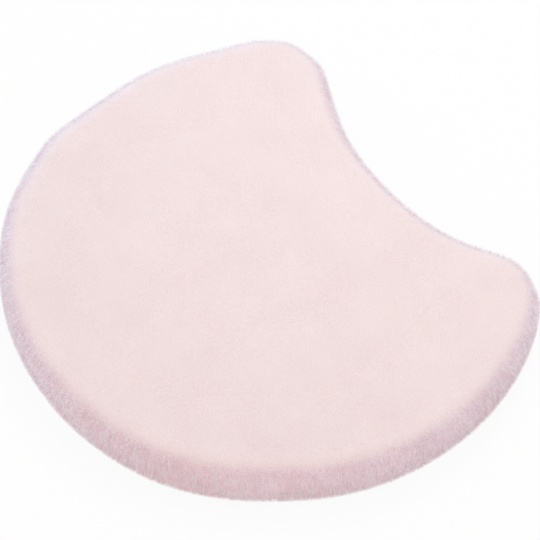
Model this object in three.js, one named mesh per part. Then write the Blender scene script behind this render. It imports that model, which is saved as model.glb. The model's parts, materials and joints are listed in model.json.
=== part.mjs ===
// A flocked makeup sponge: a round foam pad with a concave bite, coated with binder and covered in
// short pile. Millimetres, +Z up, +Y towards the bite. The origin is the centre of the round side, on
// the flat face that the pad rests on.
import * as THREE from 'three';

// Driving dimensions of the foam core
const foamRadius = 31;
const foamWallHeight = 1.6;
const foamEdgeRadius = 1.6;
const crownHeight = 0.35;

// Driving dimensions of the bite and of the horn on each side of it, on the foam
const biteRadius = 37.5;
const biteCentreDistance = 53.8;
const hornFaceRadius = 2.5;

// Driving dimensions of the layers that are laid on the foam, one over the other
const binderThickness = 0.25;
const pileDepth = 1.15;

// The glue line between two layers, and the parting line between two zones of one layer
const bondGap = 0.05;
const partingGap = 0.1;

// Where a layer's side zone ends and its face zones begin, as a slope of the rounded edge
const partingAngle = THREE.MathUtils.degToRad(45);
const upright = THREE.MathUtils.degToRad(90);

// Steps along the outline, round the edge for each parting angle, and the rings of a face
const roundSideSteps = 47;
const hornSteps = 6;
const biteSteps = 10;
const edgeSteps = 2;
const ringShares = [0.75, 0.45];

// How far each surface lies outside the foam
const binderInside = bondGap;
const binderOutside = binderInside + binderThickness;
const pileInside = binderOutside + bondGap;
const pileOutside = pileInside + pileDepth;

// Heights of the two circles of centres that the rounded edge turns about
const lowerTurnHeight = foamEdgeRadius + pileOutside;
const upperTurnHeight = lowerTurnHeight + foamWallHeight;

// The horn's corner circle touches the round side and the bite from the inside of the foam
const hornRadius = hornFaceRadius + foamEdgeRadius;
const hornFromCentre = foamRadius - hornRadius;
const hornFromBite = biteRadius + hornRadius;
const hornY = (hornFromCentre ** 2 - hornFromBite ** 2 + biteCentreDistance ** 2) / (2 * biteCentreDistance);
const hornX = Math.sqrt(hornFromCentre ** 2 - hornY ** 2);
const hornToRoundSide = Math.atan2(hornY, hornX);
const hornToBite = Math.atan2(biteCentreDistance - hornY, -hornX);

// A face's rings close in on the middle of the waist, between the bite and the round side
const waistMiddle = (biteCentreDistance - biteRadius - foamRadius) / 2;

// Half of the parting gap, as an angle at the pile's outer surface
const partingClearance = partingGap / (foamEdgeRadius + pileOutside) / 2;

const foamMaterial = new THREE.MeshStandardMaterial({ color: '#f3d9d3', roughness: 0.95, metalness: 0 });
const binderMaterial = new THREE.MeshStandardMaterial({ color: '#e3c3c6', roughness: 0.7, metalness: 0 });
const pileMaterial = new THREE.MeshStandardMaterial({ color: '#f2e0de', roughness: 1, metalness: 0 });

// Points of one arc of the outline, without its last point, which the next arc starts with
function arcPoints(centreX, centreY, radius, start, end, clockwise, steps) {
  const arc = new THREE.ArcCurve(centreX, centreY, radius, start, end, clockwise);
  return arc.getPoints(steps).slice(0, steps);
}

// The pad's outline, anticlockwise, on a parallel curve that lies `growth` outside the foam
function crescentOutline(growth) {
  const horn = hornRadius + growth;
  const turn = 2 * Math.PI;
  return [
    ...arcPoints(hornX, hornY, horn, hornToRoundSide, hornToBite, false, hornSteps),
    ...arcPoints(0, biteCentreDistance, biteRadius - growth, hornToBite - Math.PI, -hornToBite, true, biteSteps),
    ...arcPoints(-hornX, hornY, horn, Math.PI - hornToBite, Math.PI - hornToRoundSide, false, hornSteps),
    ...arcPoints(0, 0, foamRadius + growth, Math.PI - hornToRoundSide, turn + hornToRoundSide, false, roundSideSteps),
  ];
}

// One ring of points: the outline at a growth, drawn in by a share towards the waist, at a height
function ring(growth, height, share) {
  return crescentOutline(growth).map(
    (point) => new THREE.Vector3(point.x * share, waistMiddle + (point.y - waistMiddle) * share, height),
  );
}

// A ring on the rounded edge of the surface `outside` the foam. The slope is zero at the side and
// upright at the face.
function edgeRing(outside, turnHeight, slope, up) {
  const reach = foamEdgeRadius + outside;
  return ring(reach * Math.cos(slope) - foamEdgeRadius, turnHeight + up * reach * Math.sin(slope), 1);
}

// The rings of the rounded edge from one slope to another, both included
function edgeRings(outside, turnHeight, from, to, up) {
  const count = Math.round(edgeSteps * Math.abs(to - from) / partingAngle);
  const rings = [];
  for (let step = 0; step <= count; step += 1) {
    rings.push(edgeRing(outside, turnHeight, THREE.MathUtils.lerp(from, to, step / count), up));
  }
  return rings;
}

// The rings of the crowned upper face, from its rim to the pole at the middle
function upperFaceRings(outside) {
  const rimHeight = upperTurnHeight + foamEdgeRadius + outside;
  const rings = ringShares.map(
    (share) => ring(-foamEdgeRadius, rimHeight + crownHeight * (1 - share ** 2), share),
  );
  return [...rings, [new THREE.Vector3(0, waistMiddle, rimHeight + crownHeight)]];
}

// The flat lower face is one pole inside its rim
function lowerFacePole(outside) {
  return [new THREE.Vector3(0, waistMiddle, lowerTurnHeight - foamEdgeRadius - outside)];
}

// A closed body through rings of points. A ring of one point is a pole. Where the section closes on
// itself, the last ring joins the first one.
function bodyThrough(rings, closesOnItself) {
  const positions = [];
  const faces = [];
  const starts = rings.map((points) => {
    const start = positions.length / 3;
    points.forEach((point) => positions.push(point.x, point.y, point.z));
    return start;
  });
  const bands = closesOnItself ? rings.length : rings.length - 1;
  for (let band = 0; band < bands; band += 1) {
    const next = (band + 1) % rings.length;
    const count = Math.max(rings[band].length, rings[next].length);
    for (let column = 0; column < count; column += 1) {
      const after = (column + 1) % count;
      const [here, there] = [starts[band], starts[next]];
      if (rings[band].length > 1) {
        faces.push(here + column, here + after, rings[next].length > 1 ? there + after : there);
      }
      if (rings[next].length > 1) {
        faces.push(rings[band].length > 1 ? here + column : here, there + after, there + column);
      }
    }
  }
  const geometry = new THREE.BufferGeometry();
  geometry.setAttribute('position', new THREE.Float32BufferAttribute(positions, 3));
  geometry.setIndex(faces);
  geometry.computeVertexNormals();
  return geometry;
}

function foamCore() {
  return bodyThrough([
    lowerFacePole(0),
    ...edgeRings(0, lowerTurnHeight, upright, 0, -1),
    ...edgeRings(0, upperTurnHeight, 0, upright, 1),
    ...upperFaceRings(0),
  ], false);
}

// The zone of a layer that covers the flat lower face and the rounding next to it
function lowerZone(inside, outside) {
  const rim = partingAngle + partingClearance;
  return bodyThrough([
    lowerFacePole(outside),
    ...edgeRings(outside, lowerTurnHeight, upright, rim, -1),
    ...edgeRings(inside, lowerTurnHeight, rim, upright, -1),
    lowerFacePole(inside),
  ], false);
}

// The zone of a layer that goes all round the side
function edgeZone(inside, outside) {
  const rim = partingAngle - partingClearance;
  return bodyThrough([
    ...edgeRings(outside, lowerTurnHeight, rim, 0, -1),
    ...edgeRings(outside, upperTurnHeight, 0, rim, 1),
    ...edgeRings(inside, upperTurnHeight, rim, 0, 1),
    ...edgeRings(inside, lowerTurnHeight, 0, rim, -1),
  ], true);
}

// The zone of a layer that covers the crowned upper face and the rounding next to it
function upperZone(inside, outside) {
  const rim = partingAngle + partingClearance;
  return bodyThrough([
    ...upperFaceRings(inside).reverse(),
    ...edgeRings(inside, upperTurnHeight, upright, rim, 1),
    ...edgeRings(outside, upperTurnHeight, rim, upright, 1),
    ...upperFaceRings(outside),
  ], false);
}

function piece(name, geometry, material) {
  const mesh = new THREE.Mesh(geometry, material.clone());
  mesh.name = name;
  return mesh;
}

function binderCoat() {
  const coat = new THREE.Group();
  coat.add(
    piece('lower_binder_coat', lowerZone(binderInside, binderOutside), binderMaterial),
    piece('edge_binder_coat', edgeZone(binderInside, binderOutside), binderMaterial),
    piece('upper_binder_coat', upperZone(binderInside, binderOutside), binderMaterial),
  );
  return coat;
}

function flockPile() {
  const pile = new THREE.Group();
  pile.add(
    piece('lower_flock_pile', lowerZone(pileInside, pileOutside), pileMaterial),
    piece('edge_flock_pile', edgeZone(pileInside, pileOutside), pileMaterial),
    piece('upper_flock_pile', upperZone(pileInside, pileOutside), pileMaterial),
  );
  return pile;
}

const sponge = new THREE.Group();
sponge.name = 'makeup_sponge';
sponge.add(piece('foam_core', foamCore(), foamMaterial), binderCoat(), flockPile());

export default sponge;
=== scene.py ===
"""A flocked makeup sponge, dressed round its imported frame, and the plain studio that it is shown in.

The sponge is a round foam pad with a concave bite between two horns. A coat of binder covers the foam,
and short nylon flock stands in the binder on every side. All lengths are metres, +Z is up, and +Y goes
from the middle of the round side to the bite.
"""
import json
import logging
import math
from dataclasses import dataclass, fields, replace
from enum import Enum

import bpy
import numpy as np
from mathutils import Matrix, Vector

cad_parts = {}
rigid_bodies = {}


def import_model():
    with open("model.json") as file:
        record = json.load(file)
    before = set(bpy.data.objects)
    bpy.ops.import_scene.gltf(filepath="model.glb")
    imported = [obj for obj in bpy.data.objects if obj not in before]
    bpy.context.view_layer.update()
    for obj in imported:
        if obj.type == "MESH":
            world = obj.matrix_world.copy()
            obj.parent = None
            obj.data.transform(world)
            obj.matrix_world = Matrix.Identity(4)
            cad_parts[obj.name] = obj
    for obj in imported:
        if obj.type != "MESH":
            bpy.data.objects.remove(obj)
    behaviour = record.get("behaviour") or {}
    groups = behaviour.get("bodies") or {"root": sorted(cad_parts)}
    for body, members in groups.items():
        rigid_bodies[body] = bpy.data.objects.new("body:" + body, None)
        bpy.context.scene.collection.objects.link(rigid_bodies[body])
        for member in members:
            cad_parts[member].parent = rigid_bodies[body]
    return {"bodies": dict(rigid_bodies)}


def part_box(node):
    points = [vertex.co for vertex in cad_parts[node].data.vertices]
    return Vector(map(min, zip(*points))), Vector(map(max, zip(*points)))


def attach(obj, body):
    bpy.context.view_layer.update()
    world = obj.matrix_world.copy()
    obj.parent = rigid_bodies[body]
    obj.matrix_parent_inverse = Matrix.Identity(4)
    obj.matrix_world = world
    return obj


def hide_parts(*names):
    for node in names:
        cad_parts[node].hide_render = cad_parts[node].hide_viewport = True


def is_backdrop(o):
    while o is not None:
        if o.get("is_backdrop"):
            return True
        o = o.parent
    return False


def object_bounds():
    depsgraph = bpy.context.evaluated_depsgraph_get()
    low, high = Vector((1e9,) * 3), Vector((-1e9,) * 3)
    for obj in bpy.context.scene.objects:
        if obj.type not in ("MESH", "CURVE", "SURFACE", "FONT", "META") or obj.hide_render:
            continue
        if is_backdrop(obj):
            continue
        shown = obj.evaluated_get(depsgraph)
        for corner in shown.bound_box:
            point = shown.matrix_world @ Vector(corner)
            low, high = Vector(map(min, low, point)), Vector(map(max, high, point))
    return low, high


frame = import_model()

MM = 0.001
BODY = next(iter(frame["bodies"]))
CREASE = 50.0  # degrees from which an edge stays sharp
CAD_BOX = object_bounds()
LOG = logging.getLogger("makeup_sponge")

Colour = tuple[float, float, float]
Piece = bpy.types.Object
Material = bpy.types.Material
Socket = bpy.types.NodeSocket
Rings = list[np.ndarray]


class Zone(Enum):
    """The three zones in which the real pad is coated and flocked."""

    LOWER = "lower"
    EDGE = "edge"
    UPPER = "upper"


@dataclass(frozen=True)
class Swell:
    """A place where the soft outline swells out, or draws in, against the plain crescent."""

    along: float  # where it is strongest, round the outline from the right horn towards the bite
    reach: float  # how far it spreads to each side
    height: float  # how far the outline moves out there, negative where it draws in

    def at(self, places: np.ndarray, around: float) -> np.ndarray:
        """Gives the outward move at some places of an outline that is `around` long."""
        away = (places - self.along + around / 2) % around - around / 2
        return self.height * np.exp(-((away / self.reach) ** 2))


SWELLS = tuple(Swell(along * MM, reach * MM, height * MM) for along, reach, height in (
    (3.4, 3.8, -0.6), (8.8, 2.8, 0.36), (18.0, 6.5, -0.4), (31.5, 7.0, -0.2), (41.5, 4.0, 0.2),
    (50.0, 2.2, -0.35), (54.3, 4.8, 1.13), (78.0, 7.5, -0.6), (86.0, 3.0, 0.33), (98.0, 6.0, 0.25),
    (122.0, 8.0, -0.15), (142.0, 7.0, 0.25), (157.0, 5.0, -0.2)))


@dataclass(frozen=True)
class Turn:
    """Where the pile goes over from the look of the faces to the look of the sides."""

    starts: float = 0.995  # upright share of the surface's normal at which the change starts
    full: float = 0.60  # upright share at which it is complete

    def side_share(self, upright: float) -> float:
        """Gives zero on a face and one on a side, from the upright share of the surface's normal."""
        share = min(max((self.starts - abs(upright)) / (self.starts - self.full), 0.0), 1.0)
        return share * share * (3.0 - 2.0 * share)


@dataclass(frozen=True)
class Depth:
    """Depth of a surface below the outermost one, under the faces and under the sides."""

    face: float
    side: float
    turn: Turn = Turn()

    def at(self, upright: float) -> float:
        """Gives the depth where the surface's normal has the given upright share."""
        return self.face + (self.side - self.face) * self.turn.side_share(upright)

    @classmethod
    def even(cls, depth: float) -> "Depth":
        """Gives a depth that is the same all over."""
        return cls(depth, depth)


@dataclass(frozen=True)
class PadForm:
    """The pad's shape, from which every layer takes its surfaces.

    The spine is the outline of the flat faces. A surface lies `reach` away from the spine all round, so
    the edge is a true rounding, and two surfaces of different reach are parallel.
    """

    POINTS_ON_ARC = 2000  # of the spine, before they are spread evenly

    face_radius: float = 29.4 * MM  # round side of the spine
    bite_radius: float = 39.1 * MM  # measured to the spine
    bite_distance: float = 53.8 * MM  # from the pad's centre to that of the bite
    horn_radius: float = 2.5 * MM  # horn corners of the spine
    lower_turn: float = 3.1 * MM  # height that the lower rounding turns about
    upper_turn: float = 4.7 * MM  # height that the upper one turns about
    crown: float = 0.35 * MM  # how far the middle of the upper face stands above its rim
    columns: int = 352  # points on the spine, a multiple of 32
    fuller: float = 0.125 * MM  # how far it all stands out, as tips of fibres hide less than a solid does
    swells: tuple[Swell, ...] = SWELLS

    @property
    def edge_reach(self) -> float:
        """Reach of the outermost surface, which rests on the ground."""
        return self.lower_turn

    @property
    def waist_middle(self) -> float:
        """Place on Y that the rings of a face close in on."""
        return (self.bite_distance - self.bite_radius - self.face_radius) / 2

    def spine(self) -> tuple[np.ndarray, np.ndarray]:
        """Works out the outline of the flat faces.

        Returns:
            Its points, anticlockwise, and the outward normal at each.
        """
        to_centre = self.face_radius - self.horn_radius
        to_bite = self.bite_radius + self.horn_radius
        horn_y = (to_centre**2 - to_bite**2 + self.bite_distance**2) / (2 * self.bite_distance)
        horn_x = math.sqrt(to_centre**2 - horn_y**2)
        start = math.atan2(horn_y, horn_x)
        stop = math.atan2(self.bite_distance - horn_y, -horn_x)
        arcs = (
            (horn_x, horn_y, self.horn_radius, start, stop),
            (0.0, self.bite_distance, self.bite_radius, stop - math.pi, -stop),
            (-horn_x, horn_y, self.horn_radius, math.pi - stop, math.pi - start),
            (0.0, 0.0, self.face_radius, math.pi - start, 2 * math.pi + start),
        )
        dense = []
        for x, y, radius, first, last in arcs:
            turn = np.linspace(first, last, self.POINTS_ON_ARC, endpoint=False)
            dense.append(np.stack([x + radius * np.cos(turn), y + radius * np.sin(turn)], 1))
        path, places, around = self._spread(np.concatenate(dense))
        move = sum((swell.at(places, around) for swell in self.swells), np.full(len(path), self.fuller))
        path = path + self._normals(path) * move[:, None]
        return path, self._normals(path)

    def _spread(self, path: np.ndarray) -> tuple[np.ndarray, np.ndarray, float]:
        """Spaces the spine's points evenly along the outermost outline.

        Args:
            path: Points close together on the spine.

        Returns:
            One point for each column, the places of the points round the outline, and its length.
        """
        outer = path + self._normals(path) * self.edge_reach
        steps = np.linalg.norm(np.roll(outer, -1, 0) - outer, axis=1)
        along = np.concatenate([[0.0], np.cumsum(steps)])
        places = np.linspace(0.0, along[-1], self.columns, endpoint=False)
        closed = np.concatenate([path, path[:1]])
        spread = np.stack([np.interp(places, along, closed[:, axis]) for axis in (0, 1)], 1)
        return spread, places, along[-1]

    @staticmethod
    def _normals(path: np.ndarray) -> np.ndarray:
        """Gives the outward normals of a closed anticlockwise path."""
        tangent = np.roll(path, -1, 0) - np.roll(path, 1, 0)
        return np.stack([tangent[:, 1], -tangent[:, 0]], 1) / np.linalg.norm(tangent, axis=1, keepdims=True)


def raised(plan: np.ndarray, height: float) -> np.ndarray:
    """Gives the points of a flat path at a height."""
    return np.column_stack([plan, np.full(len(plan), height)])


class PadSurface:
    """Rings of points on the pad's parallel surfaces."""

    FACE_STEP = 0.6 * MM  # from ring to ring
    EDGE_STEPS = 8  # round a part of the edge
    WALL_STEPS = 4
    RIM_TO_POLE = 27.0 * MM  # the longest way across a face
    INNERMOST_SHARE = 0.03  # size of the innermost ring against the rim
    MOST_THINNED = 32  # the innermost rings keep one point in so many
    UNROLLED = "unrolled"  # attribute with the places on the cylinder

    def __init__(self, form: PadForm) -> None:
        """Works out the spine once for all surfaces."""
        self.form = form
        self.path, self.normals = form.spine()

    def way_over_edge(self, depth: Depth, slope: float) -> float:
        """Gives the length of a surface's section from mid-height to a slope in degrees on the edge."""
        wall, turn = (self.form.upper_turn - self.form.lower_turn) / 2, math.radians(slope)
        return wall + (self.form.edge_reach - depth.at(math.sin(turn))) * turn

    def unrolled(self, rings: Rings, along: float, up: int) -> Rings:
        """Lays rings out on a cylinder that is as long round as the outline, true to size and with no seam.

        Args:
            rings: Rings of the surface, in order.
            along: Place of the first ring along the cylinder, from mid-height.
            up: 1 where the rings go upwards, and -1 downwards.

        Returns:
            The places of each ring's points.
        """
        outer = self.path + self.normals * self.form.edge_reach
        radius = np.linalg.norm(np.roll(outer, -1, 0) - outer, axis=1).sum() / math.tau
        laid = []
        for number, ring in enumerate(rings):
            if number:
                along += up * np.linalg.norm(ring[0] - rings[number - 1][0])
            turn = np.arange(len(ring)) * math.tau / len(ring)
            laid.append(raised(radius * np.column_stack([np.cos(turn), np.sin(turn)]), along))
        return laid

    def edge(self, depth: Depth, first: float, last: float, up: int) -> Rings:
        """Gives the rings of a rounded edge.

        Args:
            depth: Depth of the surface.
            first: Slope of the first ring in degrees, zero at the side and 90 at the face.
            last: Slope of the last ring.
            up: 1 for the upper edge and -1 for the lower one.

        Returns:
            The rings, both ends included.
        """
        turn_height = self.form.upper_turn if up > 0 else self.form.lower_turn
        rings = []
        for slope in np.radians(np.linspace(first, last, self.EDGE_STEPS + 1)):
            reach = self.form.edge_reach - depth.at(math.sin(slope))
            plan = self.path + self.normals * (reach * math.cos(slope))
            rings.append(raised(plan, turn_height + up * reach * math.sin(slope)))
        return rings

    def wall(self, depth: Depth) -> Rings:
        """Gives the rings between the ends of the straight wall, without the ends, from the bottom up."""
        heights = np.linspace(self.form.lower_turn, self.form.upper_turn, self.WALL_STEPS + 1)[1:-1]
        return [raised(self.path + self.normals * (self.form.edge_reach - depth.side), z) for z in heights]

    def face(self, depth: Depth, up: int) -> Rings:
        """Gives the rings of a face from inside its rim to the pole, with fewer points further in.

        Args:
            depth: Depth of the surface.
            up: 1 for the crowned upper face and -1 for the flat lower one.

        Returns:
            The rings. The last one is the pole, a single point.
        """
        form = self.form
        reach = form.edge_reach - depth.face
        base = form.upper_turn + reach if up > 0 else form.lower_turn - reach
        crown = form.crown if up > 0 else 0.0
        middle = np.array([0.0, form.waist_middle])
        rings = []
        for share in np.arange(1.0, self.INNERMOST_SHARE, -self.FACE_STEP / self.RIM_TO_POLE)[1:]:
            thinned = min(2 ** int(-math.log2(share)), self.MOST_THINNED)
            plan = middle + (self.path[::thinned] - middle) * share
            rings.append(raised(plan, base + crown * (1 - share**2)))
        rings.append(np.array([[*middle, base + crown]]))
        return rings


def band(a: range, b: range) -> list[tuple[int, ...]]:
    """Joins two rings of points.

    Args:
        a: Numbers of the first ring's points.
        b: Numbers of the second ring's points.

    Returns:
        The faces between them.
    """
    most, least = max(len(a), len(b)), min(len(a), len(b))
    steps = most if least in (1, most) else least
    faces = []
    for i in range(steps):
        j, mid, far = (i + 1) % steps, 2 * i + 1, (2 * i + 2) % most
        if len(a) == len(b):
            faces.append((a[i], a[j], b[j], b[i]))
        elif len(b) == 1:
            faces.append((a[i], a[j], b[0]))
        elif len(a) == 1:
            faces.append((a[0], b[j], b[i]))
        elif len(a) == most:
            faces += [(a[2 * i], a[mid], b[i]), (a[mid], a[far], b[j]), (a[mid], b[j], b[i])]
        else:
            faces += [(a[i], b[mid], b[2 * i]), (a[i], a[j], b[mid]), (a[j], b[far], b[mid])]
    return faces


def skinned(name: str, rings: Rings, closed: bool = False) -> Piece:
    """Makes a smooth-shaded object through rings of points.

    Args:
        name: Name of the object.
        rings: The rings in order, each as long as the last, half or twice as long, or a single point.
        closed: Whether the last ring joins the first one.

    Returns:
        The new object.
    """
    stops = np.cumsum([len(ring) for ring in rings]).tolist()
    spans = [range(stop - len(ring), stop) for stop, ring in zip(stops, rings)]
    following = spans[1:] + (spans[:1] if closed else [])
    faces = [face for here, there in zip(spans, following) for face in band(here, there)]
    mesh = bpy.data.meshes.new(name)
    mesh.from_pydata(np.concatenate(rings).tolist(), [], faces)
    mesh.shade_smooth()
    mesh.set_sharp_from_angle(angle=math.radians(CREASE))
    return shown(name, mesh)


def shown(name: str, data: bpy.types.ID) -> Piece:
    """Puts an object with the given data into the scene.

    Args:
        name: Name of the object.
        data: Mesh, lamp or camera data.

    Returns:
        The new object, at the origin.
    """
    made = bpy.data.objects.new(name, data)
    bpy.context.scene.collection.objects.link(made)
    return made


class Bench:
    """Adds nodes to the tree of a shader or of a modifier and wires them up."""

    COLUMN = 180

    def __init__(self, tree: bpy.types.NodeTree) -> None:
        """Empties a tree to work in."""
        self.tree = tree
        tree.nodes.clear()

    def put(self, kind: str, inputs: dict | None = None, **settings: object) -> bpy.types.Node:
        """Adds a node.

        Args:
            kind: Blender's name for the node's type.
            inputs: A value or a socket for each input, by name or number.
            **settings: Properties of the node.

        Returns:
            The new node.
        """
        node = self.tree.nodes.new(kind)
        node.location.x = self.COLUMN * len(self.tree.nodes)
        for name, value in settings.items():
            setattr(node, name, value)
        for key, value in (inputs or {}).items():
            if isinstance(value, Socket):
                self.tree.links.new(value, node.inputs[key])
            else:
                node.inputs[key].default_value = value
        return node

    def maths(self, operation: str, *values: object) -> Socket:
        """Gives the result of a Math node, from its operation and its operands."""
        return self.put("ShaderNodeMath", dict(enumerate(values)), operation=operation).outputs[0]

    def vectors(self, operation: str, *values: object) -> Socket:
        """Adds a Vector Math node.

        Args:
            operation: Name of the operation.
            *values: Its operands. For SCALE the second one is the factor.

        Returns:
            Its vector, or for DOT_PRODUCT its number.
        """
        keys = (0, "Scale") if operation == "SCALE" else (0, 1, 2)
        node = self.put("ShaderNodeVectorMath", dict(zip(keys, values)), operation=operation)
        return node.outputs["Value" if operation == "DOT_PRODUCT" else "Vector"]

    def part(self, vector: Socket, axis: str) -> Socket:
        """Gives one axis of a vector."""
        return self.put("ShaderNodeSeparateXYZ", {0: vector}).outputs[axis]

    def vector(self, **axes: object) -> Socket:
        """Gives a vector with the given axes, and zero for the rest."""
        return self.put("ShaderNodeCombineXYZ", axes).outputs[0]

    def noise(self, place: Socket, scale: object, detail: float, kind: str = "Fac") -> Socket:
        """Gives a noise with `scale` features to the metre, as a number or, of the kind Color, a vector."""
        inputs = {"Vector": place, "Scale": scale, "Detail": detail}
        return self.put("ShaderNodeTexNoise", inputs).outputs[kind]

    def cells(self, place: Socket, scale: object) -> bpy.types.NodeOutputs:
        """Gives what is known of the random cell round a place, with `scale` cells to the metre."""
        return self.put("ShaderNodeTexVoronoi", {"Vector": place, "Scale": scale}).outputs

    def smooth(self, value: Socket, start: object, stop: object) -> Socket:
        """Gives a number that rises smoothly from zero to one while a value goes from start to stop."""
        limits = {"Value": value, "From Min": start, "From Max": stop}
        return self.put("ShaderNodeMapRange", limits, interpolation_type="SMOOTHSTEP").outputs[0]

    def mixed(self, share: Socket, first: object, second: object, kind: str = "RGBA") -> Socket:
        """Gives the first value or colour for a share of zero, and the second one for a share of one."""
        ends = {"Factor": share, "A": first, "B": second}
        return self.put("ShaderNodeMix", ends, data_type=kind).outputs["Result"]

    def relief(self, height: Socket, strength: float, distance: float) -> Socket:
        """Gives the normal of a relief with the given height map."""
        inputs = {"Height": height, "Strength": strength, "Distance": distance}
        return self.put("ShaderNodeBump", inputs).outputs[0]

    def place(self) -> Socket:
        """Gives the Object coordinate, for a shader."""
        return self.put("ShaderNodeTexCoord").outputs["Object"]

    def ramp(self, value: Socket, places: tuple[float, ...], colours: tuple[Colour, ...]) -> Socket:
        """Adds a colour ramp.

        Args:
            value: What it colours.
            places: Places of its colours, from 0 to 1.
            colours: The linear colours.

        Returns:
            Its colour socket.
        """
        node = self.put("ShaderNodeValToRGB", {0: value})
        marks = node.color_ramp.elements
        while len(marks) < len(places):
            marks.new(0.5)
        for mark, place, colour in zip(marks, places, colours):
            mark.position = place
            mark.color = (*colour, 1.0)
        return node.outputs[0]


class Finish:
    """A material with one Principled shader, whose inputs each finish works out."""

    NAME: str
    COOL_SHEEN = (0.95, 0.9, 1.0, 1.0)

    def inputs(self, bench: Bench) -> dict[str, object]:
        """Gives the shader's inputs, numbers and sockets, by name."""
        raise NotImplementedError

    def material(self) -> Material:
        """Builds the material.

        Returns:
            The new material.
        """
        material = bpy.data.materials.new(self.NAME)
        material.use_nodes = True
        bench = Bench(material.node_tree)
        shader = bench.put("ShaderNodeBsdfPrincipled", self.inputs(bench))
        bench.put("ShaderNodeOutputMaterial", {"Surface": shader.outputs[0]})
        return material


@dataclass(frozen=True)
class FoamFinish(Finish):
    """Open-cell foam: pale, dry, pitted all over with fine cells that are darkened with painted shade, and
    faintly clouded.
    """

    NAME = "foam"

    wall: Colour = (0.86, 0.66, 0.60)
    pit: Colour = (0.60, 0.38, 0.34)  # painted shade down in the cells
    cell: float = 0.35 * MM
    mottle: float = 4.0 * MM  # size of the clouds in its colour
    mottling: float = 0.3
    depths: tuple[float, float] = (0.15, 0.55)  # where the painted shade in the pits ends and the wall's colour is reached

    def inputs(self, bench: Bench) -> dict[str, object]:
        """Works out the shader's inputs.

        Args:
            bench: Bench of the material's tree.

        Returns:
            Numbers and sockets by name.
        """
        place = bench.place()
        cells = bench.cells(place, 1 / self.cell)["Distance"]
        clouds = bench.noise(place, 1 / self.mottle, detail=3.0)
        depth = bench.maths("MULTIPLY_ADD", clouds, self.mottling, cells)
        # deeper in the cells the colour goes over to painted shade
        return {"Base Color": bench.ramp(depth, self.depths, (self.pit, self.wall)), "Roughness": 0.9,
                "Normal": bench.relief(cells, strength=0.6, distance=self.cell)}


@dataclass(frozen=True)
class BinderFinish(Finish):
    """Cured flocking adhesive: a faintly glossy film that dips, and pools, in the foam's cells."""

    NAME = "binder"

    thin: Colour = (0.80, 0.58, 0.58)
    thick: Colour = (0.66, 0.42, 0.44)
    ripple: float = 0.8 * MM  # distance between its dips
    heights: tuple[float, float] = (0.35, 0.65)  # where the pooled colour ends and the thin one is reached
    glossiest: float = 0.4  # roughness in the deepest dips
    duller: float = 0.3  # how much rougher the highest places are

    def inputs(self, bench: Bench) -> dict[str, object]:
        """Works out the shader's inputs.

        Args:
            bench: Bench of the material's tree.

        Returns:
            Numbers and sockets by name.
        """
        place = bench.place()
        dips = bench.noise(place, 1 / self.ripple, detail=4.0)
        return {"Base Color": bench.ramp(dips, self.heights, (self.thick, self.thin)), "IOR": 1.48,
                "Roughness": bench.maths("MULTIPLY_ADD", dips, self.duller, self.glossiest),
                "Normal": bench.relief(dips, strength=0.4, distance=self.ripple / 4)}


@dataclass(frozen=True)
class NapFinish(Finish):
    """The dense lower part of the pile, seen between the tips of the fibres, coloured darker than them as
    painted shade in the gaps, and darker still on the sides as painted shade.
    """

    NAME = "nap"

    form: PadForm
    depth: Depth  # of the nap below the fibres' tips
    # colours from the painted shade in the gaps between fibres to the warm patches, on the faces and on the
    # sides, where they are darker as painted shade
    face: tuple[Colour, ...] = ((0.84, 0.69, 0.69), (0.88, 0.75, 0.75), (0.90, 0.78, 0.77))
    side: tuple[Colour, ...] = ((0.70, 0.51, 0.55), (0.80, 0.65, 0.70), (0.88, 0.77, 0.82))
    heights: tuple[float, ...] = (0.35, 0.5, 0.65)  # of these colours in the pattern
    patch: float = 7.0 * MM
    patchiness: float = 0.3  # their share in the pattern
    grain: float = 0.16 * MM  # distance from fibre to fibre
    graininess: float = 0.7  # its share in the pattern, which darkens the gaps between fibres as painted shade

    def _turn_heights(self) -> list[float]:
        """Gives the distances from mid-height between which the faces go over into the sides."""
        wall, turn = (self.form.upper_turn - self.form.lower_turn) / 2, self.depth.turn
        return [wall + (self.form.edge_reach - self.depth.at(upright)) * upright
                for upright in (turn.starts, turn.full)]

    def inputs(self, bench: Bench) -> dict[str, object]:
        """Works out the shader's inputs.

        Args:
            bench: Bench of the material's tree.

        Returns:
            Numbers and sockets by name.
        """
        place = bench.place()
        patches = bench.noise(place, 1 / self.patch, detail=2.0)
        grain = bench.noise(place, 1 / self.grain, detail=1.0)
        fine = bench.maths("MULTIPLY", grain, self.graininess)
        height = bench.maths("MULTIPLY_ADD", patches, self.patchiness, fine)
        looks = [bench.ramp(height, self.heights, look) for look in (self.face, self.side)]
        middle = (self.form.lower_turn + self.form.upper_turn) / 2
        away = bench.maths("ABSOLUTE", bench.maths("SUBTRACT", bench.part(place, "Z"), middle))
        # the sides take the darker colours, painted shade
        side_share = bench.smooth(away, *self._turn_heights())
        return {"Base Color": bench.mixed(side_share, *looks), "Roughness": 0.95,
                "Sheen Weight": 0.25, "Sheen Roughness": 0.5, "Sheen Tint": self.COOL_SHEEN,
                "Normal": bench.relief(grain, strength=0.35, distance=self.grain)}


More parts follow.
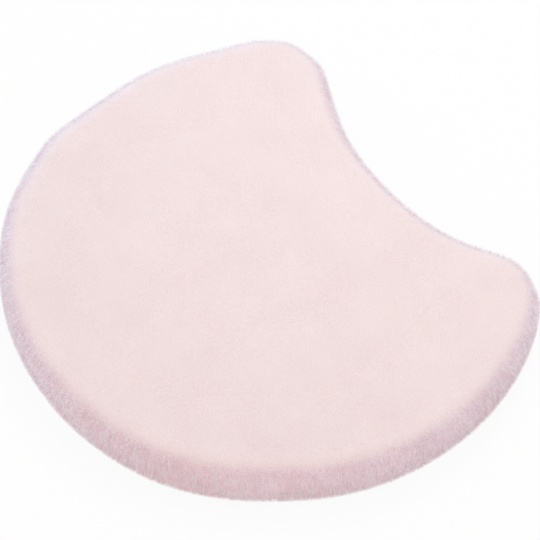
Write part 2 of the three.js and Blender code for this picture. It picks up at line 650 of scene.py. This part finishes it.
@dataclass(frozen=True)
class FibreFinish(Finish):
    """Nylon flock, dyed from a card that each fibre carries as its own map.

    Across the card the tone runs from deep to pale, its deep end painted shade at the roots, and up it the
    hue runs from warm to lavender, whose lavender end is painted sheen.
    """

    NAME = "flock"
    CARD = "OFBake"

    tones: tuple[float, ...] = (0.0, 0.5, 0.8, 1.0)  # places of the colours across the card
    warm: tuple[Colour, ...] = (
        (0.70, 0.43, 0.46), (0.88, 0.68, 0.70), (0.97, 0.865, 0.865), (0.99, 0.91, 0.92))
    # lavender colours, painted sheen: the cooler light that the pile catches at grazing angles and on its
    # highlights
    cool: tuple[Colour, ...] = (
        (0.62, 0.43, 0.49), (0.80, 0.65, 0.72), (0.92, 0.79, 0.87), (0.98, 0.88, 0.95))

    def inputs(self, bench: Bench) -> dict[str, object]:
        """Works out the shader's inputs.

        Args:
            bench: Bench of the material's tree.

        Returns:
            Numbers and sockets by name.
        """
        card = bench.put("ShaderNodeUVMap", uv_map=self.CARD).outputs[0]
        tone = bench.part(card, "X")
        warm, cool = (bench.ramp(tone, self.tones, colours) for colours in (self.warm, self.cool))
        return {"Base Color": bench.mixed(bench.part(card, "Y"), warm, cool), "Roughness": 0.8,
                "Sheen Weight": 0.15, "Sheen Roughness": 0.5, "Sheen Tint": self.COOL_SHEEN,
                "Subsurface Weight": 0.9, "Subsurface Radius": (0.8, 0.8, 1.0),
                "Subsurface Scale": 0.12 * MM}


@dataclass(frozen=True)
class PileLook:
    """How the pile stands, and how it is dyed. The dye holds painted light: deeper roots as painted shade
    down in the pile, and cooler tips and paler, cooler tufts as painted sheen and highlights. The plain
    values are those of the faces.
    """

    density: float = 75e6  # fibres to the square metre of the surface that they stand on
    length: float = 0.75 * MM  # of the longest fibres
    unevenness: float = 0.08  # share of its length by which a fibre may be shorter
    width: float = 0.040 * MM  # of a fibre at its root
    stray: float = 0.12  # how far a fibre leans at random, as a slope
    comb: float = 0.1  # how far all fibres lean down over the edge
    tuft: float = 0.1  # how far the tips of a tuft close together
    tuft_lean: float = 0.04  # how far each tuft leans its own way
    tuft_width: float = 0.1  # how much stouter the fibres of the palest tufts are
    root_tone: float = 0.80  # tone of the roots on the dye card, deeper than the tips as painted shade down in the pile
    tip_tone: float = 0.85
    fibre_tone: float = 0.01  # spread of the tone from fibre to fibre
    tuft_tone: float = 0.01  # from tuft to tuft, at random, the rare pale tufts also painted highlight streaks
    clump_tone: float = 0.0  # from one clump of tufts to the next
    root_hue: float = 0.05  # hue of the roots on the dye card; the tips' cooler hue is painted sheen
    tip_hue: float = 0.05
    tuft_hue: float = 0.02  # spread of the hue from tuft to tuft, the pale ones cooler as painted highlights


FACE_PILE = PileLook()
# The sides' roots are far deeper than their tips, painted shade down in the pile, and their tips and pale
# tufts cooler, painted sheen and highlights.
SIDE_PILE = PileLook(
    density=90e6, length=1.18 * MM, unevenness=0.05, width=0.050 * MM, stray=0.04, comb=0.52,
    tuft=0.27, tuft_lean=0.10, tuft_width=0.9,
    root_tone=0.30, tip_tone=0.88, fibre_tone=0.05, tuft_tone=4.0, clump_tone=1.5,
    root_hue=0.16, tip_hue=0.46, tuft_hue=0.60)


@dataclass(frozen=True)
class Flock:
    """Everything that the flocking tree needs beside the surface."""

    face: PileLook = FACE_PILE
    side: PileLook = SIDE_PILE
    turn: Turn = Turn()
    depth: float = 0.80 * MM  # of the roots below the surface that the tips reach
    lean: float = 0.12  # how far whole patches of the pile lean
    patch: float = 6.0 * MM  # size of those patches
    tuft_size: float = 0.23 * MM
    tuft_drawn: float = 4.5  # how many times as long as wide a tuft of the sides is, downhill
    patch_tone: float = 0.03  # spread of the tone from patch to patch
    patch_hue: float = 0.12  # spread of the hue


def numbers_of(source: object, label: str = "") -> dict[str, float]:
    """Gives the plain numbers among a dataclass's values, each name with the label before it."""
    return {f"{label}{field.name}": getattr(source, field.name)
            for field in fields(source) if field.type is float}


class Flocking:
    """The Geometry Nodes tree that stands fibres on a surface."""

    SIDES = 3
    CARD_MARGIN = 0.03  # part of the dye card that no colour is taken from
    FIBRE_ON_CARD = 0.012  # share of the card that a fibre's own width takes up
    COMB_FADES = (-0.8, -0.1)  # upright shares between which the comb fades out underneath
    TUFTS_SOONER = 2.5  # how much sooner than the rest the tufts change over the edge
    CLUMPS_FINER = 4.5  # how many times smaller than a patch a clump is
    TIPS_ALIKE = 0.79  # how far the tips of different tufts are alike in tone
    PALE_RARITY = 3.0  # power that makes pale tufts rare
    PALENESS = (-0.5, 1.5)  # of the deepest tufts and of the palest ones
    FLATTEST = 0.2  # upright share of the flattest fibre that still reaches its full height
    NOISE_SPREAD = 4.0  # brings the patches' noise out to -1 and 1
    LEAN_PATTERN, DYE_PATTERN, CLUMP_PATTERN = 0.3, 1.9, 3.1  # moves of the noise that keep them apart
    UP = (0.0, 0.0, 1.0)
    ONES = (1.0, 1.0, 1.0)
    TWOS = (2.0, 2.0, 2.0)
    MINUS_ONES = (-1.0, -1.0, -1.0)

    def __init__(self) -> None:
        """Builds the tree, which every zone uses."""
        self.tree = bpy.data.node_groups.new("flocking", "GeometryNodeTree")
        self.bench = Bench(self.tree)
        sockets = {"Geometry": "Geometry", **dict.fromkeys(self._settings(Flock(), 1.0), "Float"),
                   "seed": "Int", "material": "Material"}
        for name, kind in sockets.items():
            self.tree.interface.new_socket(name, in_out="INPUT", socket_type=f"NodeSocket{kind}")
        self.tree.interface.new_socket("Geometry", in_out="OUTPUT", socket_type="NodeSocketGeometry")
        self.given = self.bench.put("NodeGroupInput").outputs
        maths, here = self.bench.maths, self.bench.put("GeometryNodeInputNormal").outputs[0]
        spread = self.bench.put("GeometryNodeDistributePointsOnFaces", {
            "Mesh": self.given["Geometry"], "Density": self._blend("density", self._side_share(here)),
            "Seed": self.given["seed"]}).outputs
        self.normal = spread["Normal"]
        self.share = self._side_share(self.normal)
        self.tufted = maths("MINIMUM", maths("MULTIPLY", self.share, self.TUFTS_SOONER), 1.0)
        self.chance, self.into_tuft = self._tufts()
        deepest, palest = self.PALENESS
        rare = maths("POWER", self.bench.part(self.chance, "X"), self.PALE_RARITY)
        self.paleness = maths("MULTIPLY_ADD", rare, palest - deepest, deepest)
        self._plant(spread["Points"])

    @staticmethod
    def _settings(flock: Flock, share: float) -> dict[str, float]:
        """Works out the tree's numbers.

        Args:
            flock: How the pad is flocked.
            share: Share of the full density that is wanted.

        Returns:
            The numbers by name.
        """
        face, side = (replace(look, density=look.density * share) for look in (flock.face, flock.side))
        looks = numbers_of(face, "face ") | numbers_of(side, "side ")
        return looks | numbers_of(flock) | numbers_of(flock.turn)

    def _side_share(self, normal: Socket) -> Socket:
        """Gives zero on the faces and one on the sides, from the surface's normal."""
        steepness = self.bench.maths("ABSOLUTE", self.bench.part(normal, "Z"))
        return self.bench.smooth(steepness, self.given["starts"], self.given["full"])

    def _blend(self, name: str, share: Socket | None = None) -> Socket:
        """Gives a value of the pile's look, on the faces for a share of zero and on the sides for one."""
        ends = self.given[f"face {name}"], self.given[f"side {name}"]
        return self.bench.mixed(share or self.share, *ends, "FLOAT")

    def _position(self) -> Socket:
        """Gives the place of each point."""
        return self.bench.put("GeometryNodeInputPosition").outputs[0]

    def _patches(self, offset: float, finer: float = 1.0) -> Socket:
        """Gives a smooth random vector over the surface, each axis from about -1 to 1.

        Args:
            offset: Move of the pattern.
            finer: How many times smaller than the other patches these are.

        Returns:
            The vector.
        """
        vectors, spread = self.bench.vectors, self.NOISE_SPREAD
        place = vectors("ADD", self._position(), (offset, offset, offset))
        scale = self.bench.maths("DIVIDE", finer, self.given["patch"])
        noise = self.bench.noise(place, scale, detail=1.0, kind="Color")
        return vectors("MULTIPLY_ADD", noise, (spread,) * 3, (-spread / 2,) * 3)

    def _chance(self, salt: int, low: object, high: object, kind: str = "FLOAT") -> Socket:
        """Gives each fibre a random value, which another salt would make another one."""
        ends = {"Min": low, "Max": high, "Seed": self.bench.maths("ADD", self.given["seed"], float(salt))}
        return self.bench.put("FunctionNodeRandomValue", ends, data_type=kind).outputs["Value"]

    def _stored(self, geometry: Socket, name: str, value: Socket, kind: str = "FLOAT",
                domain: str = "POINT") -> Socket:
        """Gives the geometry with a named attribute stored on it."""
        inputs = {"Geometry": geometry, "Name": name, "Value": value}
        return self.bench.put(
            "GeometryNodeStoreNamedAttribute", inputs, data_type=kind, domain=domain).outputs[0]

    def _read(self, name: str, kind: str = "FLOAT") -> Socket:
        """Reads a named attribute back."""
        return self.bench.put("GeometryNodeInputNamedAttribute", {"Name": name}, data_type=kind).outputs[0]

    def _fibre(self) -> Socket:
        """Makes one closed fibre, one unit long and two wide.

        Returns:
            Its mesh, whose points carry their places on it.
        """
        size = {"Vertices": self.SIDES, "Radius Top": 0.0, "Radius Bottom": 1.0, "Depth": 1.0}
        cone = self.bench.put("GeometryNodeMeshCone", size, fill_type="NGON")
        return self._stored(cone.outputs["Mesh"], "place", self._position(), "FLOAT_VECTOR")

    def _downhill(self) -> Socket:
        """Works out the way down over the edge, along the surface.

        Returns:
            The direction, which fades out underneath.
        """
        vectors, upright = self.bench.vectors, self.bench.part(self.normal, "Z")
        along = vectors("SUBTRACT", vectors("SCALE", self.normal, upright), self.UP)
        return vectors("SCALE", vectors("NORMALIZE", along), self.bench.smooth(upright, *self.COMB_FADES))

    def _tufts(self) -> tuple[Socket, Socket]:
        """Groups the fibres into tufts, round ones on the faces and drawn-out ones on the sides.

        Returns:
            A random vector for each tuft, and the way from a fibre's root to the middle of its tuft.
        """
        maths, vectors = self.bench.maths, self.bench.vectors
        scale = maths("DIVIDE", 1.0, self.given["tuft_size"])
        place = self._position()
        plain = self.bench.cells(place, scale)
        plain_way = vectors("SUBTRACT", plain["Position"], place)
        plain_way = vectors("SUBTRACT", plain_way, vectors("PROJECT", plain_way, self.normal))
        squeeze = self.bench.vector(X=1.0, Y=1.0, Z=maths("DIVIDE", 1.0, self.given["tuft_drawn"]))
        unrolled = vectors("MULTIPLY", self._read(PadSurface.UNROLLED, "FLOAT_VECTOR"), squeeze)
        drawn = self.bench.cells(unrolled, scale)
        round_it = vectors("NORMALIZE", vectors("CROSS_PRODUCT", self.UP, unrolled))
        across = vectors("DOT_PRODUCT", vectors("SUBTRACT", drawn["Position"], unrolled), round_it)
        level = vectors("NORMALIZE", vectors("CROSS_PRODUCT", self.UP, self.normal))
        return (self.bench.mixed(self.tufted, plain["Color"], drawn["Color"], "VECTOR"),
                self.bench.mixed(self.tufted, plain_way, vectors("SCALE", level, across), "VECTOR"))

    def _direction(self) -> Socket:
        """Works out which way a fibre points.

        Returns:
            The direction.
        """
        blend, vectors = self._blend, self.bench.vectors
        direction = self.normal
        leanings = (
            (self._chance(1, self.MINUS_ONES, self.ONES, "FLOAT_VECTOR"), blend("stray")),
            (self._downhill(), blend("comb")),
            (self._patches(self.LEAN_PATTERN), self.given["lean"]),
            (self.into_tuft, self.bench.maths("DIVIDE", blend("tuft"), blend("length"))),
            (vectors("MULTIPLY_ADD", self.chance, self.TWOS, self.MINUS_ONES), blend("tuft_lean")),
        )
        for way, amount in leanings:
            direction = vectors("ADD", direction, vectors("SCALE", way, amount))
        return vectors("NORMALIZE", direction)

    def _size(self, direction: Socket) -> Socket:
        """Works out a fibre's size, so that no tip stands out of the outermost surface.

        Args:
            direction: Which way it points.

        Returns:
            Half its width, on X and Y, and its length.
        """
        maths, blend = self.bench.maths, self._blend
        upright = self.bench.vectors("DOT_PRODUCT", direction, self.normal)
        room = maths("DIVIDE", self.given["depth"], maths("MAXIMUM", upright, self.FLATTEST))
        chance = self._chance(3, maths("SUBTRACT", 1.0, blend("unevenness")), 1.0)
        length = maths("MULTIPLY", maths("MINIMUM", room, blend("length")), chance)
        stoutness = maths("MULTIPLY_ADD", self.paleness, blend("tuft_width"), 1.0)
        half = maths("MULTIPLY", maths("MULTIPLY", blend("width"), stoutness), 0.5)
        return self.bench.vector(X=half, Y=half, Z=length)

    def _dye(self) -> dict[str, Socket]:
        """Works out how a fibre's tone and hue depart from those of the pile.

        Returns:
            Both departures by name.
        """
        bench, maths, tufted = self.bench, self.bench.maths, self.tufted
        patch = self._patches(self.DYE_PATTERN)
        clump = bench.part(self._patches(self.CLUMP_PATTERN, self.CLUMPS_FINER), "X")
        tone = maths("MULTIPLY", bench.part(patch, "X"), self.given["patch_tone"])
        tone = maths("MULTIPLY_ADD", clump, self._blend("clump_tone", tufted), tone)
        tone = maths("MULTIPLY_ADD", self._chance(4, -1.0, 1.0), self._blend("fibre_tone"), tone)
        # the pale tufts: random tone, partly painted highlight streaks, and made cooler below as painted
        # highlights
        tone = maths("MULTIPLY_ADD", self.paleness, self._blend("tuft_tone", tufted), tone)
        hue = maths("MULTIPLY", bench.part(patch, "Y"), self.given["patch_hue"])
        hue = maths("MULTIPLY_ADD", self.paleness, self._blend("tuft_hue", tufted), hue)
        return {"tone": tone, "hue": hue}

    def _plant(self, points: Socket) -> None:
        """Stands a fibre on each point, dyes it, and ends the tree.

        Args:
            points: The fibres' roots.
        """
        put, direction = self.bench.put, self._direction()
        spin = put("FunctionNodeEulerToRotation", {0: self.bench.vector(Z=self._chance(2, 0.0, math.tau))})
        turned = put("FunctionNodeAlignRotationToVector", {
            "Rotation": spin.outputs[0], "Vector": direction}, axis="Z")
        carried = {**self._dye(), "share": self.share}
        for name, value in carried.items():
            points = self._stored(points, name, value)
        planted = put("GeometryNodeInstanceOnPoints", {
            "Points": points, "Instance": self._fibre(), "Rotation": turned.outputs[0],
            "Scale": self._size(direction)})
        fibres = put("GeometryNodeRealizeInstances", {0: planted.outputs[0]}).outputs[0]
        fibres = self._stored(fibres, FibreFinish.CARD, self._place_on_card(), "FLOAT2", "CORNER")
        for name in ("place", *carried, PadSurface.UNROLLED):
            fibres = put("GeometryNodeRemoveAttribute", {"Geometry": fibres, "Name": name}).outputs[0]
        dyed = put("GeometryNodeSetMaterial", {"Geometry": fibres, "Material": self.given["material"]})
        put("NodeGroupOutput", {0: dyed.outputs[0]})

    def _place_on_card(self) -> Socket:
        """Works out the place on the dye card, inside its margin, of each corner of a fibre.

        Returns:
            The place, with the tone on X and the hue on Y.
        """
        bench, maths, share = self.bench, self.bench.maths, self._read("share")
        place = self._read("place", "FLOAT_VECTOR")
        along = bench.part(place, "Z")
        less_at_tip = maths("MULTIPLY_ADD", along, -self.TIPS_ALIKE, 1.0)
        own_tone = maths("MULTIPLY", self._read("tone"), less_at_tip)
        card = {}
        for axis, name, own in (("X", "tone", own_tone), ("Y", "hue", self._read("hue"))):
            # the roots' deeper tone is painted shade down in the pile, and the tips' cooler hue painted
            # sheen
            root, tip = (self._blend(f"{end}_{name}", share) for end in ("root", "tip"))
            value = maths("ADD", bench.mixed(along, root, tip, "FLOAT"), own)
            value = maths("MULTIPLY_ADD", bench.part(place, axis), self.FIBRE_ON_CARD, value)
            value = maths("MAXIMUM", value, self.CARD_MARGIN)
            card[axis] = maths("MINIMUM", value, 1.0 - self.CARD_MARGIN)
        return bench.vector(**card)

    def flock(self, roots: Piece, name: str, flock: Flock, share: float, seed: int, dye: Material) -> Piece:
        """Stands one batch of fibres on a surface and applies the modifier.

        Args:
            roots: Object whose mesh the fibres stand on.
            name: Name of the new piece.
            flock: How the pad is flocked.
            share: Share of the full density that this batch has.
            seed: Fixed seed of the batch.
            dye: Material of the fibres.

        Returns:
            The fibres as a plain mesh object.
        """
        wanted = self._settings(flock, share) | {"seed": seed, "material": dye}
        piece = shown(name, roots.data.copy())
        modifier = piece.modifiers.new("flocking", "NODES")
        modifier.node_group = self.tree
        for socket in self.tree.interface.items_tree:
            if socket.in_out == "INPUT" and socket.name in wanted:
                modifier[socket.identifier] = wanted[socket.name]
        bpy.context.view_layer.update()
        mesh = bpy.data.meshes.new_from_object(piece.evaluated_get(bpy.context.evaluated_depsgraph_get()))
        mesh.name = name
        piece.modifiers.clear()
        piece.data = mesh
        return piece


def ride_pad(piece: Piece, stands_for: str | None = None, fill: float | None = None) -> None:
    """Fixes a finished piece to the pad's one body and reports it.

    Args:
        piece: The piece, its mesh in place.
        stands_for: Node that it replaces, if any.
        fill: How tightly a padded piece is filled. Not used.
    """
    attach(piece, BODY)
    if stands_for:
        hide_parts(stands_for)
    LOG.info("%s: %d faces", piece.name, len(piece.data.polygons))


def depth_below_top(node: str) -> float:
    """Gives how far a node's top lies below the top of the pile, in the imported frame."""
    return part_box("upper_flock_pile")[1][2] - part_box(node)[1][2]


@dataclass(frozen=True)
class Shell:
    """One zone of a layer, between an outer and an inner surface."""

    surface: PadSurface
    zone: Zone
    outer: Depth  # depth of its outer surface
    inner: Depth  # depth of its inner surface
    parting: float = 45.0  # slope where the side zone meets the face zones, in degrees
    clearance: float = 0.05  # slope left free on each side of the parting

    @property
    def end(self) -> float:
        """Slope at which the zone ends at the parting."""
        return self.parting + (-self.clearance if self.zone is Zone.EDGE else self.clearance)

    def _rings(self, depth: Depth) -> Rings:
        """Gives the rings of one surface of the zone.

        Args:
            depth: Depth of the surface.

        Returns:
            Its rings, from the parting to the pole, or on the side from the lower parting upwards.
        """
        edge, end = self.surface.edge, self.end
        if self.zone is Zone.EDGE:
            return edge(depth, end, 0.0, -1) + self.surface.wall(depth) + edge(depth, 0.0, end, 1)
        up = 1 if self.zone is Zone.UPPER else -1
        return edge(depth, end, 90.0, up) + self.surface.face(depth, up)

    def build(self, name: str) -> Piece:
        """Makes the closed shell.

        Args:
            name: Name of the piece.

        Returns:
            The new object.
        """
        outer, inner = self._rings(self.outer), self._rings(self.inner)
        if self.zone is Zone.LOWER:
            outer, inner = inner, outer
        rings = outer + inner[::-1] if self.zone is Zone.EDGE else inner[::-1] + outer
        return skinned(name, rings, closed=self.zone is Zone.EDGE)

    def open_skin(self, name: str, depth: Depth) -> Piece:
        """Makes one surface of the zone by itself, facing out, for fibres to stand on.

        Args:
            name: Name of the object.
            depth: Depth of the surface.

        Returns:
            The new object, whose points carry their unrolled places.
        """
        rings = self._rings(depth)
        along = self.surface.way_over_edge(depth, self.end) * (1 if self.zone is Zone.UPPER else -1)
        laid = self.surface.unrolled(rings, along, -1 if self.zone is Zone.LOWER else 1)
        if self.zone is Zone.LOWER:
            rings, laid = rings[::-1], laid[::-1]
        skin = skinned(name, rings)
        places = skin.data.attributes.new(PadSurface.UNROLLED, "FLOAT_VECTOR", "POINT")
        places.data.foreach_set("vector", np.concatenate(laid).ravel())
        return skin


@dataclass
class FoamCore:
    """The foam pad that gives the sponge its shape and spring."""

    surface: PadSurface
    finish: FoamFinish = FoamFinish()
    fill: float = 0.9  # how tightly the foam fills its form

    def build(self) -> Piece:
        """Makes the core's closed body.

        Returns:
            The new object.
        """
        depth = Depth.even(depth_below_top("foam_core"))
        face, edge = self.surface.face, self.surface.edge
        lower = face(depth, -1)[::-1] + edge(depth, 90.0, 0.0, -1)
        upper = edge(depth, 0.0, 90.0, 1) + face(depth, 1)
        return skinned("foam_core_body", lower + self.surface.wall(depth) + upper)

    def dress(self) -> None:
        """Builds the core, gives it its finish and fixes it to the pad."""
        core = self.build()
        core.data.materials.append(self.finish.material())
        ride_pad(core, "foam_core", self.fill)


@dataclass
class BinderCoat:
    """The adhesive film on the foam, in three zones."""

    surface: PadSurface
    finish: BinderFinish = BinderFinish()
    thickness: float = 0.25 * MM

    def shell(self, zone: Zone) -> Shell:
        """Gives one zone of the film."""
        top = depth_below_top("upper_binder_coat")
        return Shell(self.surface, zone, Depth.even(top), Depth.even(top + self.thickness))

    def dress(self) -> None:
        """Builds the three zones, gives them their finish and fixes them to the pad."""
        material = self.finish.material()
        for zone in Zone:
            film = self.shell(zone).build(f"{zone.value}_binder_film")
            film.data.materials.append(material)
            ride_pad(film, f"{zone.value}_binder_coat")


@dataclass
class Pile:
    """The flock pile, in three zones: the dense nap, and the fibres that stand out of it."""

    surface: PadSurface
    flock: Flock = Flock()
    fibre: FibreFinish = FibreFinish()
    nap_depth: Depth = Depth(0.35 * MM, 0.43 * MM)  # of the nap below the fibres' tips
    fill: float = 0.8  # how tightly the nap fills its form

    BOND_GAP = 0.05 * MM  # between the nap and the binder
    BATCHES = {Zone.LOWER: 3, Zone.EDGE: 3, Zone.UPPER: 5}
    DENSITY_SHARES = {Zone.LOWER: 0.45, Zone.EDGE: 1.0, Zone.UPPER: 1.0}  # of the full density
    SEEDS_FOR_ZONE = 100

    def shell(self, zone: Zone) -> Shell:
        """Gives a zone's nap, which stands on the binder."""
        inner = Depth.even(depth_below_top("upper_binder_coat") - self.BOND_GAP)
        return Shell(self.surface, zone, self.nap_depth, inner)

    def build_fibres(self, zone: Zone, flocking: Flocking, dye: Material) -> list[Piece]:
        """Makes one zone's fibres.

        Args:
            zone: Which zone.
            flocking: The tree that stands the fibres up.
            dye: Material of the fibres.

        Returns:
            The batches of fibres.
        """
        roots = self.shell(zone).open_skin(f"{zone.value}_roots", Depth.even(self.flock.depth))
        share = self.DENSITY_SHARES[zone] / self.BATCHES[zone]
        first = self.SEEDS_FOR_ZONE * (1 + list(Zone).index(zone))
        made = []
        for number in range(self.BATCHES[zone]):
            name = f"{zone.value}_fibres_{number + 1}"
            made.append(flocking.flock(roots, name, self.flock, share, first + number, dye))
        bpy.data.objects.remove(roots)
        return made

    def dress(self) -> None:
        """Builds the nap and the fibres of each zone, with their finishes, and fixes them to the pad."""
        nap_material = NapFinish(self.surface.form, self.nap_depth).material()
        dye = self.fibre.material()
        flocking = Flocking()
        for zone in Zone:
            nap = self.shell(zone).build(f"{zone.value}_nap")
            nap.data.materials.append(nap_material)
            ride_pad(nap, f"{zone.value}_flock_pile", self.fill)
            for batch in self.build_fibres(zone, flocking, dye):
                ride_pad(batch)


@dataclass(frozen=True)
class Lamp:
    """A soft square lamp that faces the pad, its power in watts."""

    name: str
    power: float
    size: float
    place: tuple[float, float, float]
    colour: Colour

    def build(self) -> None:
        """Hangs the lamp in the scene."""
        data = bpy.data.lights.new(self.name, "AREA")
        data.energy = self.power
        data.size = self.size
        data.color = self.colour
        lamp = shown(self.name, data)
        lamp.location = self.place
        lamp.rotation_mode = "QUATERNION"
        lamp.rotation_quaternion = Vector(self.place).to_track_quat("Z", "Y")


@dataclass(frozen=True)
class Studio:
    """The floor, the light and the camera."""

    PICTURE = 540
    SENSOR = 36.0
    CLIPPED_AT = 100  # so many times nearer and further than the pad
    WHITE = (1.0, 1.0, 1.0, 1.0)

    azimuth: float = 50.43  # bearing of the camera in degrees: 0 looks along +Y, 90 along -X
    elevation: float = 53.7  # angle of the camera above the floor
    roll: float = 1.7  # turn of the picture about the line of sight
    distance: float = 0.45
    scale: float = 8.367  # pixels to the millimetre
    across: float = 272.5  # place of the pad's middle in the picture, from the left
    down: float = 266.0  # its place from the top
    middle: float = 3.9 * MM  # height of that point of the pad
    ambient: float = 0.792  # strength of the light from all round
    lamps: tuple[Lamp, ...] = (
        Lamp("key", 0.0585, 0.06, (-0.024, 0.052, 0.145), (1.0, 0.95, 0.935)),
        Lamp("left", 0.40, 0.08, (-0.40, -0.26, 0.035), (0.50, 0.78, 1.0)),
        Lamp("right", 0.18, 0.08, (0.45, 0.17, 0.035), (0.50, 0.78, 1.0)),
        Lamp("back", 0.22, 0.08, (-0.36, 0.18, 0.05), (0.10, 0.70, 1.0)),
        Lamp("front", 0.20, 0.1, (0.26, -0.31, 0.06), (1.0, 0.62, 0.50)),
    )
    floor_size: float = 4.0
    floor_grey: float = 0.9  # brightness of what takes the pad's shadow
    floor_white: float = 0.92  # share of plain white in what is seen of the floor

    def camera(self) -> None:
        """Makes the camera at the photograph's viewing angle and makes it the scene's own."""
        azimuth, elevation = math.radians(self.azimuth), math.radians(self.elevation)
        back = Vector((math.sin(azimuth) * math.cos(elevation), -math.cos(azimuth) * math.cos(elevation),
                       math.sin(elevation)))
        turn = back.to_track_quat("Z", "Y").to_matrix() @ Matrix.Rotation(math.radians(self.roll), 3, "Z")
        half = self.PICTURE / 2
        aim = Vector((0.0, 0.0, self.middle))
        aim += turn.col[0] * ((half - self.across) / self.scale * MM)
        aim += turn.col[1] * ((self.down - half) / self.scale * MM)
        data = bpy.data.cameras.new("camera")
        data.sensor_width = self.SENSOR
        data.lens = self.scale / MM * self.distance * self.SENSOR / self.PICTURE
        data.clip_start, data.clip_end = self.distance / self.CLIPPED_AT, self.distance * self.CLIPPED_AT
        camera = shown("camera", data)
        camera.matrix_world = Matrix.Translation(aim + back * self.distance) @ turn.to_4x4()
        bpy.context.scene.camera = camera

    @staticmethod
    def _seen_directly(bench: Bench) -> Socket:
        """Gives one for rays of the camera, of gloss and of clear glass, and zero for the rest."""
        maths, path = bench.maths, bench.put("ShaderNodeLightPath").outputs
        return maths("MAXIMUM", maths("MAXIMUM", path["Is Camera Ray"], path["Is Glossy Ray"]),
                     path["Is Transmission Ray"])

    def world(self) -> None:
        """Makes the even light all round, which shows as plain white."""
        world = bpy.data.worlds.new("studio")
        world.use_nodes = True
        bpy.context.scene.world = world
        bench = Bench(world.node_tree)
        seen = self._seen_directly(bench)
        strength = bench.maths("MULTIPLY_ADD", seen, 1.0 - self.ambient, self.ambient)
        light = bench.put("ShaderNodeBackground", {"Color": self.WHITE, "Strength": strength})
        bench.put("ShaderNodeOutputWorld", {"Surface": light.outputs[0]})

    def floor(self) -> None:
        """Makes the pale floor, which keeps the pad's soft shadow."""
        half, grey = self.floor_size / 2, self.floor_grey
        mesh = bpy.data.meshes.new("floor")
        corners = [(-half, -half, 0.0), (half, -half, 0.0), (half, half, 0.0), (-half, half, 0.0)]
        mesh.from_pydata(corners, [], [(0, 1, 2, 3)])
        floor = shown("floor", mesh)
        material = bpy.data.materials.new("floor")
        material.use_nodes = True
        bench = Bench(material.node_tree)
        matt = bench.put("ShaderNodeBsdfDiffuse", {"Color": (grey, grey, grey, 1.0)})
        white = bench.put("ShaderNodeEmission", {"Color": self.WHITE, "Strength": 1.0})
        share = bench.maths("MULTIPLY", self._seen_directly(bench), self.floor_white)
        both = bench.put("ShaderNodeMixShader", {0: share, 1: matt.outputs[0], 2: white.outputs[0]})
        bench.put("ShaderNodeOutputMaterial", {"Surface": both.outputs[0]})
        mesh.materials.append(material)
        floor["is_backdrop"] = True

    def build(self) -> None:
        """Builds the whole studio and sets plain colours."""
        self.camera()
        self.world()
        self.floor()
        for lamp in self.lamps:
            lamp.build()
        bpy.context.scene.view_settings.view_transform = "Standard"


def main() -> None:
    """Builds the sponge from the inside out, then the studio."""
    logging.basicConfig(level=logging.INFO, format="%(name)s %(message)s")
    surface = PadSurface(PadForm())
    for layer in (FoamCore(surface), BinderCoat(surface), Pile(surface)):
        layer.dress()
    Studio().build()
    [[list(corner) for corner in box] for box in (CAD_BOX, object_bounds())]


if __name__ == "__main__":
    main()
